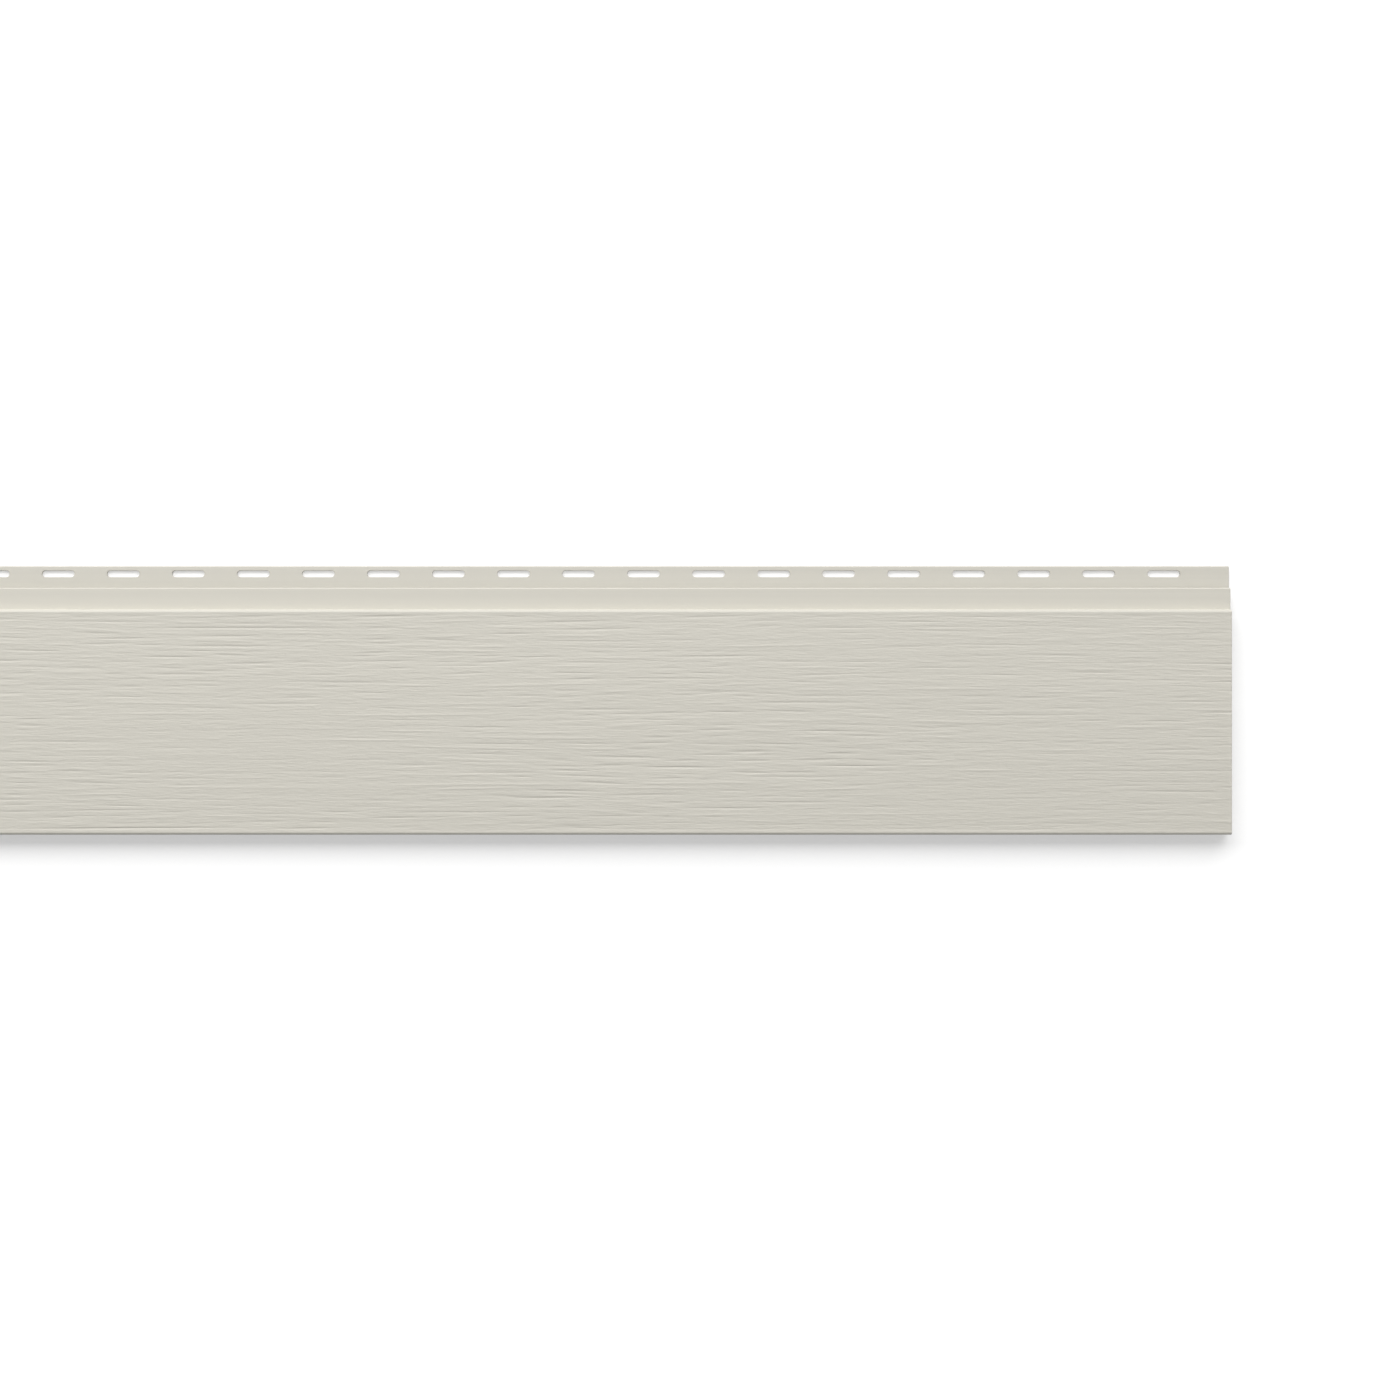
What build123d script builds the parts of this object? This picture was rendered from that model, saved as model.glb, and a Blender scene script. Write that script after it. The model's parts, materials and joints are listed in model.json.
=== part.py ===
from build123d import *
import os

# A foamed-PVC cladding board, lying on its back with its face up. Sizes are in millimetres.
# X runs along the board, Y up the wall that it clads, and Z out of that wall.
# The board is one extrusion. A tongue and a slotted nail hem run along its upper edge,
# and along its lower edge runs the groove that slips over the tongue of the board below.

# Sizes that the board is sold and laid by
length = 2950.0
cover_width = 180.0  # from one board to the next up the wall
reveal = 8.0  # open joint that shows between two faces

# Walls of the extrusion
plate_thickness = 6.8  # behind the face
tongue_thickness = 3.4
lip_thickness = 3.4  # back lip of the groove
web_thickness = 4.0  # closes the groove and carries its back lip
hem_thickness = 3.2
riser_thickness = 6.0  # upper edge of the board, which carries the tongue and the hem
leg_thickness = 4.0
leg_count = 2  # legs behind the plate, below the riser

# Fits between this board and its neighbours
joint_clearance = 0.4  # on each side of the tongue, and behind the back lip
tongue_engagement = 9.0  # length of tongue inside the next board's groove
groove_end_gap = 1.0  # room for the tongue to move up with heat
lip_setback = 1.5  # how far the back lip stops short of the lower edge
nail_strip = 12.0  # stretch of hem left free for nails above the next board's web
leg_gap = 2.0  # between the lowest leg and the hem of the board below

# Rounded corners of the section
arris_radius = 2.0  # long edges of the face
shadow_corner_radius = 0.6  # inner corner where the face steps down to the tongue
fork_radius = 1.5  # inner corners between the tongue and the hem
nose_radius = 1.0  # ends of the tongue and of the back lip
hem_edge_radius = 0.8
groove_radius = 0.5  # inner corners of the groove
foot_radius = 0.8  # feet of the riser and the legs, and the back corners of the lower edge
root_radius = 2.0  # where the riser, the legs and the web grow from the plate

# Nail slots along the hem
slot_length = 25.0
slot_width = 5.0
slot_pitch = 50.0
slot_end_margin = 20.0  # least distance from a slot to the end of the board

# Places through the depth, out from the wall
hem_front = hem_thickness
lip_back = hem_front + joint_clearance
lip_front = lip_back + lip_thickness
tongue_back = lip_front + joint_clearance
tongue_front = tongue_back + tongue_thickness
plate_back = tongue_front + joint_clearance
face = plate_back + plate_thickness

# Places up the wall, from the lower edge of the face
face_width = cover_width - reveal
riser_foot = face_width - riser_thickness
tongue_tip = cover_width + tongue_engagement
groove_end = tongue_engagement + groove_end_gap
web_top = groove_end + web_thickness
hem_tip = cover_width + web_top + nail_strip
slot_line = hem_tip - nail_strip / 2
lowest_leg = hem_tip - cover_width + leg_gap
leg_pitch = (riser_foot - lowest_leg) / leg_count
legs_downwards = [lowest_leg + leg_pitch * place for place in reversed(range(leg_count))]

# Corners of the section as (up the wall, out of the wall, corner radius), walked up the face,
# over the tongue and the hem, and back down behind the plate
face_and_tongue = [
    (0, face, arris_radius),
    (face_width, face, arris_radius),
    (face_width, tongue_front, shadow_corner_radius),
    (tongue_tip, tongue_front, nose_radius),
    (tongue_tip, tongue_back, nose_radius),
    (face_width, tongue_back, fork_radius),
]
hem_and_riser = [
    (face_width, hem_front, fork_radius),
    (hem_tip, hem_front, hem_edge_radius),
    (hem_tip, 0, hem_edge_radius),
    (riser_foot, 0, foot_radius),
    (riser_foot, plate_back, root_radius),
]
legs = []
for leg in legs_downwards:
    legs += [
        (leg + leg_thickness, plate_back, root_radius),
        (leg + leg_thickness, 0, foot_radius),
        (leg, 0, foot_radius),
        (leg, plate_back, root_radius),
    ]
web_and_groove = [
    (web_top, plate_back, root_radius),
    (web_top, lip_back, foot_radius),
    (lip_setback, lip_back, nose_radius),
    (lip_setback, lip_front, nose_radius),
    (groove_end, lip_front, groove_radius),
    (groove_end, plate_back, groove_radius),
    (0, plate_back, foot_radius),
]
outline = face_and_tongue + hem_and_riser + legs + web_and_groove

# The origin is on the back plane, under the middle of the board
lower_edge = -hem_tip / 2
section_plane = Plane(origin=(-length / 2, lower_edge, 0), x_dir=(0, 1, 0), z_dir=(1, 0, 0))
hem_plane = Plane(origin=(0, lower_edge + slot_line, hem_front))
slot_count = 1 + int((length - slot_length - 2 * slot_end_margin) // slot_pitch)

with BuildPart() as cladding_board:
    with BuildSketch(section_plane):
        with BuildLine():
            FilletPolyline(
                [(up, out) for up, out, radius in outline],
                radius=[radius for up, out, radius in outline],
                close=True,
            )
        make_face()
    extrude(amount=length)

    with BuildSketch(hem_plane):
        with GridLocations(slot_pitch, slot_width, slot_count, 1):
            SlotOverall(slot_length, slot_width)
    extrude(amount=-hem_thickness, mode=Mode.SUBTRACT)

cladding_board.part.label = "cladding_board"
os.makedirs("parts", exist_ok=True)
export_step(cladding_board.part, "parts/cladding_board.step")

print(f"board {length:g} x {hem_tip:g} x {face:g} mm, face {face_width:g} mm wide")
print(f"{slot_count} nail slots, {slot_pitch:g} mm apart, on Y = {lower_edge + slot_line:g} mm")
print(f"volume {cladding_board.part.volume / 1e6:.3f} litres")
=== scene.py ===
# %% [markdown]
# # A cladding board with an embossed face
# The board is one long strip of foamed plastic. It is pushed through a die, and a roller presses wood grain
# into its face while it is still warm. The CAD model already holds every size that matters when boards lock
# together, so this lesson adds what that model leaves plain: the grain, the satin skin and the open foam of
# the sawn ends. The CAD model is loaded first, because every vertex below is placed in its frame, in metres.

# %% Load the CAD model
import json
import math

import bmesh
import bpy
import numpy as np
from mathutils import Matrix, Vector


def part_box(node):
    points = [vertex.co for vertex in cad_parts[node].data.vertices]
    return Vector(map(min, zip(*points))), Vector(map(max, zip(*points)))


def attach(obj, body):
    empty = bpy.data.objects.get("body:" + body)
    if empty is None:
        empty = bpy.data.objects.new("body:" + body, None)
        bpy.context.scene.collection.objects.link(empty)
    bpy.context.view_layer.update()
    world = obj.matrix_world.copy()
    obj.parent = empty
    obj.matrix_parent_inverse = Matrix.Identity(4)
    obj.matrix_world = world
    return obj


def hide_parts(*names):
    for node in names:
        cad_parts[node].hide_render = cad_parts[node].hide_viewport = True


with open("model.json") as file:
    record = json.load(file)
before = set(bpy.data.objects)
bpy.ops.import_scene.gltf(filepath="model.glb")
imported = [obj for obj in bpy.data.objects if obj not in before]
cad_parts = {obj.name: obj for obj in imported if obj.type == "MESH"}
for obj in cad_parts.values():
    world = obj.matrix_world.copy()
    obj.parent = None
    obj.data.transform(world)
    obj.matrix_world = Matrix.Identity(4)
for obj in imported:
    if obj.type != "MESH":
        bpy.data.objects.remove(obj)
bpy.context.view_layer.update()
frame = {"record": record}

low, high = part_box("cladding_board")
length, overall_width, overall_depth = high - low
print(f"board {length:.3f} x {overall_width:.3f} x {overall_depth:.3f} m")

# %% [markdown]
# ## The section
# Saw the board across and you see its section: the plate behind the face, a tongue and a nail hem along the
# upper edge, a groove along the lower edge, and legs that rest on the wall. A curve with a bevel could draw
# it, but then we couldn't say which stretch gets the grain. So we list its corners as (up the wall, out of
# the wall, corner radius), in millimetres, walking up the face, over the tongue and hem and down the back.

# %% Walls, gaps and radii
mm = 0.001
plate_thickness, hem_thickness, riser_thickness = 6.8, 3.2, 6.0
tongue_thickness, lip_thickness, web_thickness, leg_thickness = 3.4, 3.4, 4.0, 4.0
cover_width, open_joint = 180.0, 8.0  # from board to board up the wall, and what stays open between two faces
tongue_in_groove, tongue_end_gap, clearance = 9.0, 1.0, 0.4
lip_setback, leg_gap = 1.5, 2.0
arris_radius, root_radius, fork_radius, nose_radius = 2.0, 2.0, 1.5, 1.0
foot_radius, shadow_radius, groove_radius = 0.8, 0.6, 0.5
face_width = cover_width - open_joint
print(f"face {face_width:.0f} mm wide on a plate {plate_thickness} mm thick")

# %% Places out of the wall
face = overall_depth / mm
hem_front = hem_thickness
lip_back = hem_front + clearance
lip_front = lip_back + lip_thickness
tongue_back = lip_front + clearance
tongue_front = tongue_back + tongue_thickness
plate_back = face - plate_thickness
print(f"groove {plate_back - lip_front:.1f} mm wide for a tongue of {tongue_thickness} mm")

# %% Places up the wall
hem_tip = overall_width / mm
riser_foot = face_width - riser_thickness
tongue_tip = cover_width + tongue_in_groove
groove_end = tongue_in_groove + tongue_end_gap
web_top = groove_end + web_thickness
lowest_foot = hem_tip - cover_width + leg_gap
leg_feet = (riser_foot + lowest_foot) / 2, lowest_foot  # the upper leg is halfway to the riser
print(f"tongue up to {tongue_tip:.0f} mm, hem up to {hem_tip:.0f} mm")

# %% Corners of the front
front_corners = [
    (0, face, arris_radius),
    (face_width, face, arris_radius),
    (face_width, tongue_front, shadow_radius),
    (tongue_tip, tongue_front, nose_radius),
    (tongue_tip, tongue_back, nose_radius),
    (face_width, tongue_back, fork_radius),
    (face_width, hem_front, fork_radius),
    (hem_tip, hem_front, foot_radius),
]
print(len(front_corners), "corners in front")

# %% Corners of the back
back_corners = [
    (hem_tip, 0, foot_radius),
    (riser_foot, 0, foot_radius),
    (riser_foot, plate_back, root_radius),
]
for foot in leg_feet:
    back_corners += [
        (foot + leg_thickness, plate_back, root_radius),
        (foot + leg_thickness, 0, foot_radius),
        (foot, 0, foot_radius),
        (foot, plate_back, root_radius),
    ]
back_corners += [
    (web_top, plate_back, root_radius),
    (web_top, lip_back, foot_radius),
    (lip_setback, lip_back, nose_radius),
    (lip_setback, lip_front, nose_radius),
    (groove_end, lip_front, groove_radius),
    (groove_end, plate_back, groove_radius),
    (0, plate_back, foot_radius),
]
print(len(back_corners), "corners behind")

# %% [markdown]
# ## Rounded corners
# Warm plastic never fills a sharp corner of the die, so each corner of the section is a small arc. A Bevel
# modifier could round the finished mesh, but it would cut through the rows that carry the grain. It is just
# as easy to put the arcs in the section: each one starts and ends one radius away from its corner.

# %% Round the corners
arc_steps = 6


def rounded(corners):
    """An arc of (y, z) points, in metres, for each right-angled corner of the section."""
    places, radii = corners[:, :2], corners[:, 2:]
    turns = np.linspace(0, math.pi / 2, arc_steps + 1)[:, None]
    arcs = []
    for place, before, after, radius in zip(places, np.roll(places, 1, 0), np.roll(places, -1, 0), radii):
        back = (before - place) / np.linalg.norm(before - place)
        on = (after - place) / np.linalg.norm(after - place)
        centre = place + radius * (back + on)
        arc = centre - radius * (on * np.cos(turns) + back * np.sin(turns))
        arcs.append(arc * mm + [low.y, low.z])
    return arcs


arcs = rounded(np.array(front_corners + back_corners))
print(len(arcs) * (arc_steps + 1), "points round the section")

# %% [markdown]
# ## The grain
# Pressed wood grain is a crowd of fine lines along the board, most of them sunk and some raised. They are one
# to eighteen centimetres long and about two millimetres wide, and they drift a little, as grain does round a
# knot. A bump map would keep them out of the mesh, so the face gets real relief. The trick is to let
# the rows of the mesh follow the grain: a line then needs only about three of them, however it drifts.

# %% Rows and columns of the face
row_count, column_count = 221, 396
end_break = 0.3 * mm
columns = np.linspace(low.x + end_break, high.x - end_break, column_count + 1)
row_places = np.linspace(arcs[0][-1][0], arcs[1][0][0], row_count)
x_grid, row_grid = np.meshgrid(columns, row_places)
print(f"rows {np.diff(row_places)[0] / mm:.2f} mm apart, columns {np.diff(columns)[0] / mm:.1f} mm apart")

# %% Smooth random fields
chance = np.random.default_rng(20)


def drift(wave_along, wave_across, count):
    """A smooth random field over the face, about 1 high, from a few slanting waves."""
    field = np.zeros_like(x_grid)
    for _ in range(count):
        along = 2 * math.pi / wave_along * chance.uniform(0.5, 1.4) * chance.choice([-1, 1])
        across = 2 * math.pi / wave_across * chance.uniform(0.4, 1.2)
        field += np.sin(along * x_grid + across * row_grid + chance.uniform(0, 2 * math.pi))
    return field / math.sqrt(count / 2)


grain_drift = drift(wave_along=0.55, wave_across=0.07, count=6)
pressure = np.clip(0.8 + 0.25 * drift(wave_along=0.7, wave_across=0.12, count=8), 0.35, 1.25)
print(f"the roller presses {pressure.min():.2f} to {pressure.max():.2f} times as hard as usual")

# %% Let the rows drift
drift_height = 1.0 * mm
straight_edge = 12 * mm
from_edge = np.minimum(row_grid - row_places[0], row_places[-1] - row_grid)
freedom = np.clip(from_edge / straight_edge, 0, 1)
y_grid = row_grid + drift_height * grain_drift * freedom**2 * (3 - 2 * freedom)
print(f"closest rows {np.diff(y_grid, axis=0).min() / mm:.2f} mm apart")

# %% [markdown]
# ## The lines of the grain
# The lines lie in lanes, one after another with short gaps, so that the face is covered evenly and two lines
# seldom cross. Each line has a rounded section that runs out at both tips. Its length, depth, slant and place
# in the lane are left to chance, and the roller presses harder in some patches than in others.

# %% One line
line_depth, faintest = 0.42 * mm, 0.4
line_widths = 1.68 * mm, 2.4 * mm
line_slant = 0.5 * mm
relief = np.zeros_like(x_grid)


def press_line(begin, end, place, depth):
    """Adds one line to the relief: a bell in section, all but gone half a width away from its middle."""
    near = slice(*np.searchsorted(columns, [begin, end]))
    along = (2 * columns[near] - begin - end) / (end - begin)
    slanted = place + chance.normal(0, line_slant) * along
    across = (row_places[:, None] - slanted) / chance.uniform(*line_widths)
    relief[:, near] += depth * (1 - along**2) * np.exp(-8 * across**2)


print(f"a line covers about {np.mean(line_widths) / np.diff(row_places)[0]:.1f} rows")

# %% All the lines
lane_gap, lane_stray = 4.4 * mm, 0.8 * mm
line_lengths = {"usual": 23 * mm, "variety": 0.75, "least": 14 * mm, "most": 180 * mm}
gap_lengths = {"usual": 8 * mm, "variety": 0.8, "least": 2 * mm, "most": 80 * mm}
line_count = 0


def by_chance(usual, variety, least, most):
    """A length near the usual one, now and then much longer."""
    return np.clip(usual * np.exp(chance.normal(0, variety)), least, most)


for lane in np.arange(row_places[0] + lane_gap / 2, row_places[-1], lane_gap):
    begin = low.x - chance.uniform(0, line_lengths["usual"])
    while begin < high.x:
        end = begin + by_chance(**line_lengths)
        sunk_or_raised = chance.choice([-1, -1, 1])
        place = lane + chance.normal(0, lane_stray)
        press_line(begin, end, place, sunk_or_raised * line_depth * chance.uniform(faintest, 1))
        begin = end + by_chance(**gap_lengths)
        line_count += 1
print(line_count, "lines")

# %% [markdown]
# ## The ground of the face
# The roller stops short of the rounded edges, so the grain fades out just before them. It also presses the
# whole ground of the face down a little. The tops of the raised lines then end level with the edges, and the
# board keeps the depth that the CAD model gives it.

# %% Height of the face
crest = 0.15 * mm
roller_edge = 2.5 * mm
pressed = np.clip(from_edge / roller_edge, 0, 1)
relief = np.minimum(relief * pressure, crest) * pressed
z_grid = high.z + relief - crest * pressed
print(f"relief from {-relief.min() / mm:.2f} mm deep to {relief.max() / mm:.2f} mm high")

# %% [markdown]
# ## The mesh
# The board could be extruded from its section in one go, but only the face needs many columns. So the mesh is
# built row by row round the section. Rows of the face and its rounded edges hold every column. All other rows
# are straight, so they hold two vertices, and where a full row meets such a row one long polygon joins them.

# %% Vertices and rows
points, sunk = [], []
left_end, right_end = [], []


def add_points(x, y, z, depth=0.0):
    """Adds vertices and gives their numbers. Depth says how far a vertex is sunk into the face."""
    x, y, z, depth = np.broadcast_arrays(x, y, z, depth)
    first = len(points)
    points.extend(zip(x.tolist(), y.tolist(), z.tolist()))
    sunk.extend(depth.tolist())
    return list(range(first, len(points)))


def add_row(x, y, z, depth=0.0):
    """Adds a row along the board, from its left end to its right end."""
    row = add_points(x, y, z, depth)
    left_end.append(row[0])
    right_end.append(row[-1])
    return row


lower_arris = [add_row(columns, y, z) for y, z in arcs[0][:-1]]
face_rows = [add_row(columns, y, z, depth) for y, z, depth in zip(y_grid, z_grid, -relief)]
upper_arris = [add_row(columns, y, z) for y, z in arcs[1][1:]]
print(len(left_end), "rows with every column")

# %% Join the rows of the face
polygons, finishes = [], []
EMBOSSED, PLAIN, SAWN = range(3)


def add_polygon(vertices, finish):
    polygons.append(vertices)
    finishes.append(finish)


def bridge(row, next_row, finish):
    """Joins two rows: by four-sided faces if they hold the same columns, and else by one polygon."""
    if len(row) == len(next_row):
        for a, b, c, d in zip(row, row[1:], next_row[1:], next_row):
            add_polygon([a, b, c, d], finish)
    else:
        add_polygon(row + next_row[::-1], finish)
    return next_row


lower_edge, upper_edge = lower_arris + face_rows[:1], face_rows[-1:] + upper_arris
for rows, finish in [(lower_edge, PLAIN), (face_rows, EMBOSSED), (upper_edge, PLAIN)]:
    for row, next_row in zip(rows, rows[1:]):
        bridge(row, next_row, finish)
print(len(polygons), "polygons in the face and its rounded edges")

# %% [markdown]
# ## The nail slots
# Plastic grows with heat, so the hem has slots in which the nails let it slide. A boolean could cut them, but
# it would also cut up the long polygons of the hem. Instead each slot is four rings of vertices, with a small
# chamfer at both faces, and the hem is split along the line of the slots, so that the edge of each half runs
# round the slots.

# %% Places of the slots
nail_slots = next(mount for mount in frame["record"]["mounts"] if mount["kind"] == "bolt_pattern")
slot_y = nail_slots["pos_m"][1]
slot_radius = nail_slots["dims"]["hole_r_mm"] * mm
slot_length = nail_slots["dims"]["slot_length_mm"] * mm
slot_pitch, slot_margin = 50 * mm, 20 * mm
slot_count = 1 + int((length - slot_length - 2 * slot_margin) / slot_pitch)
slot_places = slot_pitch * (np.arange(slot_count) - (slot_count - 1) / 2)
print(f"{slot_count} slots of {slot_length / mm:.0f} x {2 * slot_radius / mm:.0f} mm")

# %% Rings of the slots
slot_chamfer, slot_steps = 0.25 * mm, 4
hem_top = low.z + hem_front * mm
slot_levels = [
    (hem_top, slot_chamfer),
    (hem_top - slot_chamfer, 0),
    (low.z + slot_chamfer, 0),
    (low.z, slot_chamfer),
]


def slot_ring(place, z, wider):
    """Vertices round one slot, from its right tip over its upper side, at height z."""
    turn = np.linspace(-math.pi / 2, math.pi / 2, 2 * slot_steps + 1)
    radius, reach = slot_radius + wider, slot_length / 2 - slot_radius
    right_x, right_y = reach + radius * np.cos(turn), radius * np.sin(turn)
    x, y = np.append(right_x, -right_x), np.append(right_y, -right_y)
    return add_points(place + np.roll(x, -slot_steps), slot_y + np.roll(y, -slot_steps), z)


rings = [[slot_ring(place, z, wider) for place in slot_places] for z, wider in slot_levels]
for upper_rings, lower_rings in zip(rings, rings[1:]):
    for upper, lower in zip(upper_rings, lower_rings):
        bridge(upper + upper[:1], lower + lower[:1], PLAIN)
print(len(rings), "rings of", len(rings[0][0]), "vertices in each slot")

# %% A strip of hem with its slots
ends_only = columns[[0, -1]]


def slotted_strip(row, y, slots, rising):
    """Joins a row to a new one at y by two polygons that meet along the line of the slots."""
    z = points[row[0]][2]
    left, right = add_row(ends_only, slot_y, z)
    next_row = add_row(ends_only, y, z)
    half = len(slots[0]) // 2
    upper = [vertex for ring in slots for vertex in ring[half::-1]]
    lower = [vertex for ring in slots for vertex in ring[half:] + ring[:1]]
    near, far = (lower, upper) if rising else (upper, lower)
    add_polygon(row + [right] + near[::-1] + [left], PLAIN)
    add_polygon([left] + far + [right] + next_row[::-1], PLAIN)
    return next_row


print(f"slots on a line {(low.y + hem_tip * mm - slot_y) / mm:.1f} mm from the edge of the hem")

# %% Walk round the section
hem_corner = len(front_corners) - 1
hem_strips = {hem_corner: (rings[0], True), hem_corner + 2: (rings[-1], False)}
row = upper_arris[-1]
for number, arc in enumerate(arcs[2:], start=2):
    for step, (y, z) in enumerate(arc):
        if step == 0 and number in hem_strips:
            row = slotted_strip(row, y, *hem_strips[number])
        else:
            row = bridge(row, add_row(ends_only, y, z), PLAIN)
bridge(row, lower_arris[0], PLAIN)
print(len(left_end), "rows round the section")

# %% [markdown]
# ## The sawn ends
# The ends are plain saw cuts whose sharp edge has been taken off with a scraper. That small chamfer is worth
# making, because an edge that catches no light looks drawn rather than cut. Each end loop is drawn in along
# its own normals and moved out to the full length, and one polygon closes it.

# %% Close the ends
def unit(vectors):
    return vectors / np.linalg.norm(vectors, axis=1)[:, None]


def drawn_in(end, x):
    """The section at one end, drawn in by the edge break and moved to x."""
    places = np.array([points[vertex] for vertex in end])[:, 1:]
    run = unit(unit(places - np.roll(places, 1, 0)) + unit(np.roll(places, -1, 0) - places))
    y, z = (places + end_break * np.stack([run[:, 1], -run[:, 0]], 1)).T
    return add_points(x, y, z)


left_cut, right_cut = drawn_in(left_end, low.x), drawn_in(right_end, high.x)
for outer, inner in [(left_cut, left_end), (right_end, right_cut)]:
    bridge(inner + inner[:1], outer + outer[:1], SAWN)
add_polygon(left_cut, SAWN)
add_polygon(right_cut[::-1], SAWN)
print(len(left_cut), "points in each end")

# %% [markdown]
# ## The mesh and its shading
# Smooth shading gives a vertex the mean normal of its faces. On lines only a few rows wide that would wash
# the grain out, so the edges along the rows of the face are marked sharp, and so is every edge that turns by
# more than 40 degrees. Along the board the shading stays smooth. Each vertex also remembers how far it is
# sunk, because the finish of the face will need it.

# %% Make the mesh
mesh = bpy.data.meshes.new("cladding_board_dressed")
mesh.from_pydata(points, [], polygons)
mesh.polygons.foreach_set("material_index", finishes)
sunk_depth = mesh.attributes.new("sunk_depth", "FLOAT", "POINT")
sunk_depth.data.foreach_set("value", np.array(sunk) / mm)
mesh.shade_smooth()
mesh.calc_loop_triangles()
print(len(mesh.vertices), "vertices and", len(mesh.loop_triangles), "triangles")

# %% Mark the sharp edges
sharp_angle = math.radians(40)
inner_rows = range(face_rows[1][0], face_rows[-1][0])
shape = bmesh.new()
shape.from_mesh(mesh)
for edge in shape.edges:
    a, b = sorted(vertex.index for vertex in edge.verts)
    along_row = b - a == 1 and a in inner_rows and b in inner_rows
    edge.smooth = not along_row and edge.calc_face_angle() < sharp_angle
open_edges = sum(not edge.is_manifold for edge in shape.edges)
print(f"{open_edges} open edges, {shape.calc_volume() * 1000:.3f} litres")
shape.to_mesh(mesh)
shape.free()

# %% [markdown]
# ## The board in the frame
# The dressed board stands for the CAD board, so it hides that one and rides on the same body. A smooth-shaded
# corner bleeds into the flat beside it. The Weighted Normal modifier lets the larger face win, so that flats
# look flat and corners look round.

# %% Put the board in the frame
board = bpy.data.objects.new("cladding_board_dressed", mesh)
bpy.context.scene.collection.objects.link(board)
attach(board, "root")
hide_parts("cladding_board")
even_shading = board.modifiers.new("even_shading", "WEIGHTED_NORMAL")
even_shading.keep_sharp = True
print(board.name, "stands for the CAD board")

# %% [markdown]
# ## The embossed skin
# The plastic has one colour right through, a warm pale grey, and three finishes. The first is the skin that
# the roller leaves on the face. It is satin, with soft bands of tone along the board, and covered with fibres
# that are finer than the rows of the mesh. One noise texture could colour it all, but each of these marks has
# a size of its own, so each gets its own noise, stretched along the board as the roller stretches its marks.

# %% Start the embossed skin
pvc = (0.578, 0.558, 0.497)
specular_level = 0.38


def new_finish(name):
    """A new material on the board. Gives its node tree and its shader."""
    material = bpy.data.materials.new(name)
    material.use_nodes = True
    mesh.materials.append(material)
    shader = material.node_tree.nodes["Principled BSDF"]
    shader.inputs["Specular IOR Level"].default_value = specular_level
    return material.node_tree, shader


tree, shader = new_finish("embossed_skin")
print("first finish:", mesh.materials[EMBOSSED].name)

# %% Satin in streaks
noise_range = 0.3, 0.7


def streaks(tree, along, across, detail=2.0):
    """Noise with marks of about these sizes, in metres, along the board and across it."""
    place = tree.nodes.new("ShaderNodeTexCoord")
    stretch = tree.nodes.new("ShaderNodeMapping")
    stretch.inputs["Scale"].default_value = (1 / along, 1 / across, 1 / across)
    noise = tree.nodes.new("ShaderNodeTexNoise")
    noise.inputs["Scale"].default_value = 1
    noise.inputs["Detail"].default_value = detail
    tree.links.new(place.outputs["Object"], stretch.inputs["Vector"])
    tree.links.new(stretch.outputs["Vector"], noise.inputs["Vector"])
    return noise.outputs["Fac"]


def rescale(tree, value, old, new):
    """Carries a value from its old range to a new one, each given as two ends."""
    node = tree.nodes.new("ShaderNodeMapRange")
    for name, number in zip(("From Min", "From Max", "To Min", "To Max"), (*old, *new)):
        node.inputs[name].default_value = number
    tree.links.new(value, node.inputs["Value"])
    return node.outputs["Result"]


satin = 0.5, 0.62
gloss = rescale(tree, streaks(tree, along=0.06, across=0.002), noise_range, satin)
tree.links.new(gloss, shader.inputs["Roughness"])
print(f"face roughness from {satin[0]} to {satin[1]}")

# %% [markdown]
# ## The tone of the face, with painted shade
# The soft bands are noise as long as an arm. The sunk lines get painted shade, a little darker, because less
# light gets into them, and here the depth that each vertex remembers comes in. The two are added, and a ramp
# between a light and a dark tone of the plastic turns the sum into colour.

# %% Bands and painted shade in the sunk lines
def combine(tree, operation, first, second):
    """Joins two values by a Math node."""
    node = tree.nodes.new("ShaderNodeMath")
    node.operation = operation
    tree.links.new(first, node.inputs[0])
    tree.links.new(second, node.inputs[1])
    return node.outputs["Value"]


def tint(tree, shader, value, lightest, darkest):
    """Colours the surface from a light shade of the plastic, where the value is 0, to a dark one, at 1."""
    ramp = tree.nodes.new("ShaderNodeValToRGB")
    for element, share in zip(ramp.color_ramp.elements, (lightest, darkest)):
        element.color = (*(share * channel for channel in pvc), 1)
    tree.links.new(value, ramp.inputs["Fac"])
    tree.links.new(ramp.outputs["Color"], shader.inputs["Base Color"])


# painted shade: sunk lines are coloured darker between these depths, where less light gets in
painted_shade_from, painted_shade_to = 0.02, 0.2  # millimetres sunk
bands = rescale(tree, streaks(tree, along=0.35, across=0.005), noise_range, (0, 0.3))
depth_node = tree.nodes.new("ShaderNodeAttribute")
depth_node.attribute_name = "sunk_depth"
# painted shade in the sunk lines, added to the bands of tone
painted_line_shade = rescale(tree, depth_node.outputs["Fac"], (painted_shade_from, painted_shade_to), (0, 0.3))
tint(tree, shader, combine(tree, "ADD", painted_line_shade, bands), lightest=1.02, darkest=0.9)
print(f"lines darken from {painted_shade_from} to {painted_shade_to} mm deep")

# %% [markdown]
# ## The fibres
# Between the pressed lines the face is never quite flat: it is full of fibres a centimetre long. They could
# be drawn in the colour, but real ones only catch the light. As relief they would take millions of triangles,
# so they are bump, which tilts the light on a surface and leaves the mesh alone.

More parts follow.
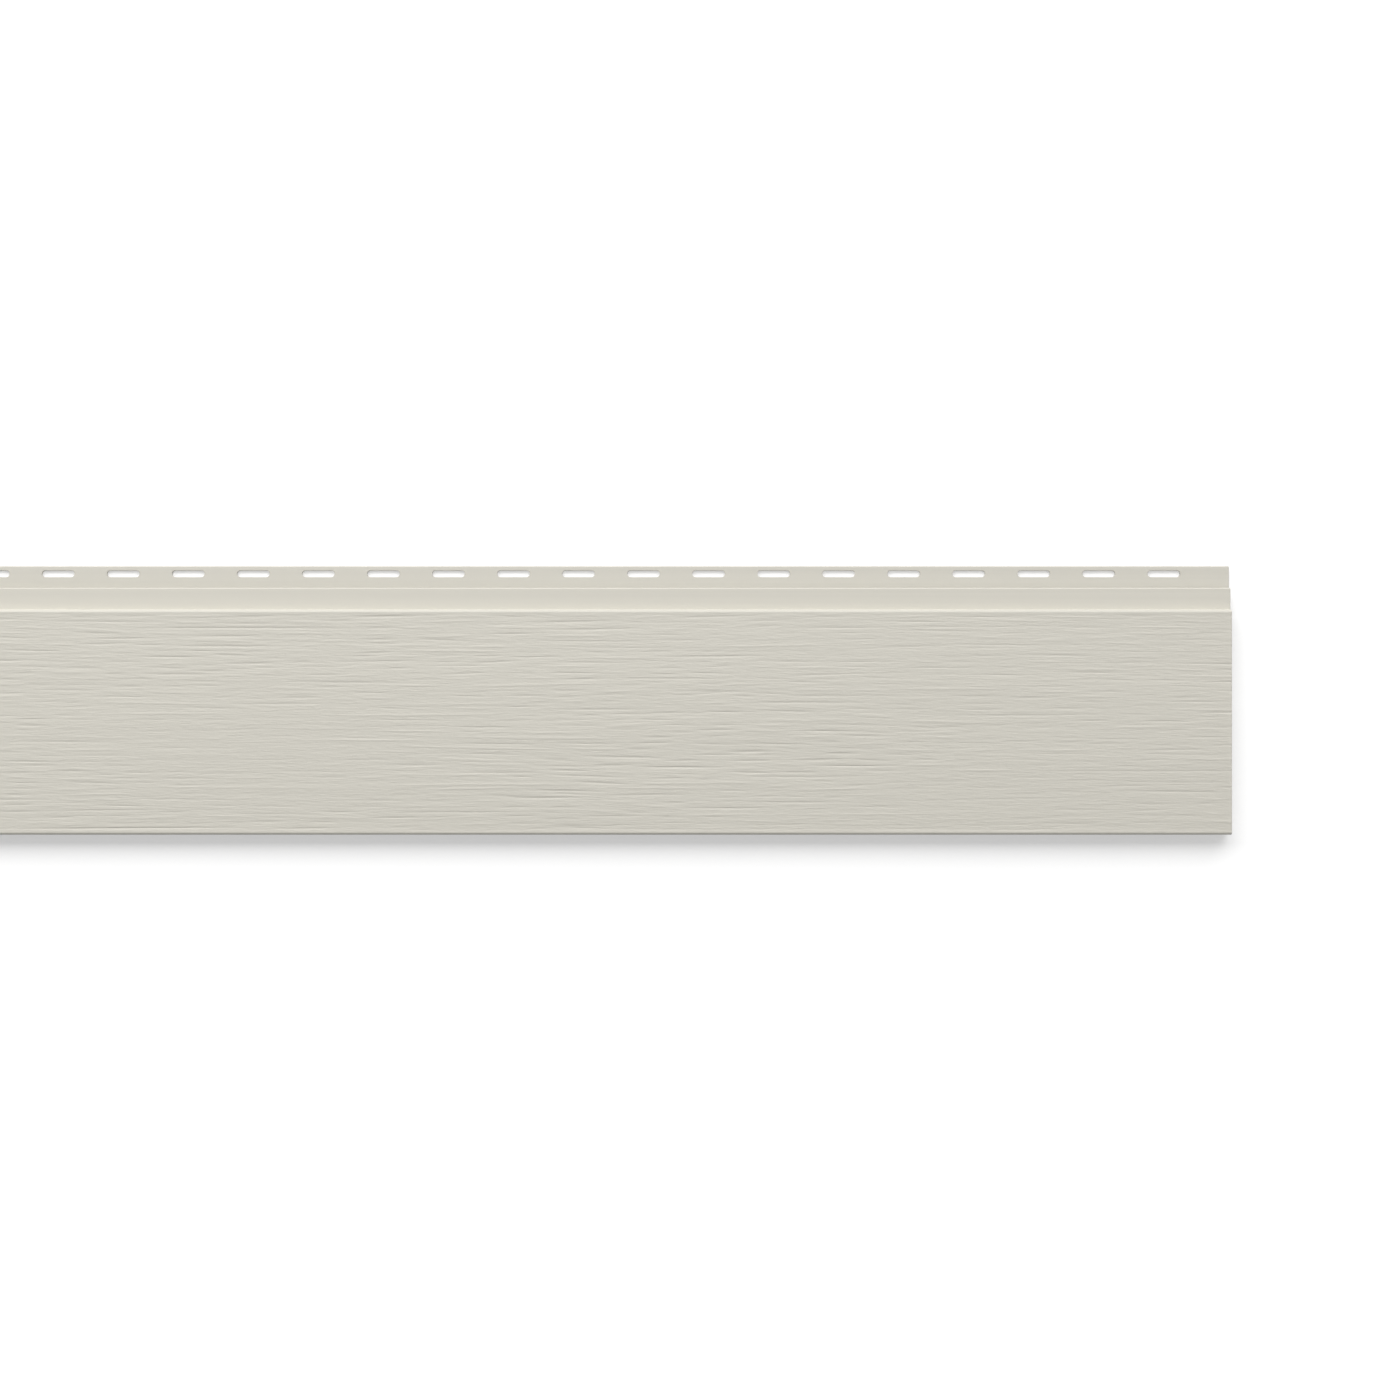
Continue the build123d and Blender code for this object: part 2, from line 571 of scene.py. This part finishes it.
# %% Fibres
def roughen(tree, shader, height, depth):
    """Gives the surface a fine relief of this depth, in metres."""
    bump = tree.nodes.new("ShaderNodeBump")
    bump.inputs["Distance"].default_value = depth
    tree.links.new(height, bump.inputs["Height"])
    tree.links.new(bump.outputs["Normal"], shader.inputs["Normal"])


roughen(tree, shader, streaks(tree, along=0.009, across=0.0013, detail=3), depth=0.22 * mm)
print(len(tree.nodes), "nodes in the embossed skin")

# %% [markdown]
# ## The plain skin
# All that the roller doesn't touch keeps the skin of the die: the rounded edges of the face, the tongue, the
# hem and the back. It is smoother than the face and has only faint straight lines, as long as the board. The
# same noise makes them, stretched much further and kept shallow.

# %% Plain skin
tree, shader = new_finish("plain_skin")
bands = rescale(tree, streaks(tree, along=0.8, across=0.004), noise_range, (0, 1))
tint(tree, shader, bands, lightest=1.01, darkest=0.97)
gloss = rescale(tree, streaks(tree, along=0.5, across=0.001), noise_range, (0.44, 0.54))
tree.links.new(gloss, shader.inputs["Roughness"])
roughen(tree, shader, streaks(tree, along=1.5, across=0.0012), depth=0.02 * mm)
print(len(tree.nodes), "nodes in the plain skin")

# %% [markdown]
# ## The sawn end
# A saw opens the foam, a mass of bubbles half a millimetre across. It is dull, and it gets painted light and
# shade:
# lighter at the walls of the bubbles and darker inside them. Dots of noise would look like grit. Voronoi
# noise has cells that fit side by side as bubbles do, and the distance to the middle of a cell gives both the
# hollow and its painted shade.

# %% Sawn end
bubble = 0.55 * mm
tree, shader = new_finish("sawn_end")
shader.inputs["Roughness"].default_value = 0.85
place = tree.nodes.new("ShaderNodeTexCoord")
bubbles = tree.nodes.new("ShaderNodeTexVoronoi")
bubbles.inputs["Scale"].default_value = 1 / bubble
tree.links.new(place.outputs["Object"], bubbles.inputs["Vector"])
# painted light and shade: darker towards the middle of each bubble, lighter at its walls
painted_bubble_shade = rescale(tree, bubbles.outputs["Distance"], (0, 0.7), (1, 0))
tint(tree, shader, painted_bubble_shade, lightest=1.08, darkest=0.85)
roughen(tree, shader, bubbles.outputs["Distance"], depth=0.15 * mm)
print(len(mesh.materials), "finishes on the board")

# %% [markdown]
# ## The floor
# The board lies on a plain white floor. To render white, the floor gets a glow that only the camera and
# mirror-like rays see, so that it throws no extra light on the board and still keeps the board's shadow. Near
# the board the lamp does part of the work, so the glow is weaker there and grows to full white further out.
# The lamp is longer than the board, so a step along the board counts only a fifth of a step away from it.

# %% A large plane
floor_reach, floor_drop = 20.0, 0.1 * mm
floor_corners = [(-1, -1), (1, -1), (1, 1), (-1, 1)]
floor_points = [(floor_reach * x, floor_reach * y, low.z - floor_drop) for x, y in floor_corners]
floor_mesh = bpy.data.meshes.new("floor")
floor_mesh.from_pydata(floor_points, [], [range(4)])
floor = bpy.data.objects.new("floor", floor_mesh)
bpy.context.scene.collection.objects.link(floor)
print(f"floor {2 * floor_reach:.0f} m wide")

# %% White paint
floor_grey = 0.7
floor_paint = bpy.data.materials.new("floor_paint")
floor_paint.use_nodes = True
floor_mesh.materials.append(floor_paint)
tree = floor_paint.node_tree
paint = tree.nodes["Principled BSDF"]
paint.inputs["Base Color"].default_value = (floor_grey, floor_grey, floor_grey, 1)
paint.inputs["Roughness"].default_value = 1
paint.inputs["Specular IOR Level"].default_value = 0
paint.inputs["Emission Color"].default_value = (1, 1, 1, 1)
print(f"floor paint throws back {floor_grey:.0%} of the light")

# %% Glow of the floor
near, near_glow = 0.3, 0.42
far, far_glow = 1.2, 1.0
step_along = 0.2


def only_seen(tree):
    """1 for rays that show a surface, and 0 for rays that carry its light on."""
    path = tree.nodes.new("ShaderNodeLightPath")
    shown = combine(tree, "ADD", path.outputs["Is Camera Ray"], path.outputs["Is Glossy Ray"])
    shown = combine(tree, "ADD", shown, path.outputs["Is Transmission Ray"])
    shown.node.use_clamp = True
    return shown


place = tree.nodes.new("ShaderNodeTexCoord")
squeeze = tree.nodes.new("ShaderNodeMapping")
squeeze.inputs["Scale"].default_value = (step_along, 1, 1)
from_board = tree.nodes.new("ShaderNodeVectorMath")
from_board.operation = "LENGTH"
tree.links.new(place.outputs["Object"], squeeze.inputs["Vector"])
tree.links.new(squeeze.outputs["Vector"], from_board.inputs[0])
glow = rescale(tree, from_board.outputs["Value"], (near, far), (near_glow, far_glow))
tree.links.new(combine(tree, "MULTIPLY", glow, only_seen(tree)), paint.inputs["Emission Strength"])
print(f"floor white by itself {far} m beside the board")

# %% [markdown]
# ## The light
# Grain shows only in light from the side. One long window light stands beyond the upper edge of the board,
# low enough to put a dark and a bright side on each line, and a soft white sky fills the shadows.

# %% Sky
sky_level = 0.235
world = bpy.data.worlds.new("soft_sky")
bpy.context.scene.world = world
world.use_nodes = True
sky = world.node_tree.nodes["Background"]
sky.inputs["Color"].default_value = (1, 1, 1, 1)
strength = rescale(world.node_tree, only_seen(world.node_tree), (0, 1), (sky_level, 1))
world.node_tree.links.new(strength, sky.inputs["Strength"])
print(f"sky {sky_level} on the board, 1 where it is seen")

# %% Window light
lamp = bpy.data.lights.new("window_light", "AREA")
lamp.shape = "RECTANGLE"
lamp.size, lamp.size_y = 6.0, 2.4
lamp.energy = 153
window = bpy.data.objects.new("window_light", lamp)
bpy.context.scene.collection.objects.link(window)
window.location = (0.3, 1.92, 1.95)
aim = Vector((window.location.x, 0, 0)) - window.location
window.rotation_euler = aim.to_track_quat("-Z", "Y").to_euler()
print(f"light {math.degrees(math.asin(window.location.z / aim.length)):.0f} degrees above the board")

# %% [markdown]
# ## The camera
# The board is seen square on, as cladding is seen on a wall, so the camera looks straight down from well
# above with a long lens. The board runs out of the picture to the left, and its right end shows.

# %% Camera
view_width = 1.07  # metres of board level across the picture
end_place = 0.88  # share of the picture to the left of the board's right end
camera_data = bpy.data.cameras.new("camera")
camera_data.lens = 85
camera = bpy.data.objects.new("camera", camera_data)
bpy.context.scene.collection.objects.link(camera)
bpy.context.scene.camera = camera
distance = view_width * camera_data.lens / camera_data.sensor_width
camera.location = (high.x - (end_place - 0.5) * view_width, 0, high.z + distance)
bpy.context.scene.view_settings.view_transform = "Standard"
print("camera at", [round(value, 3) for value in camera.location])
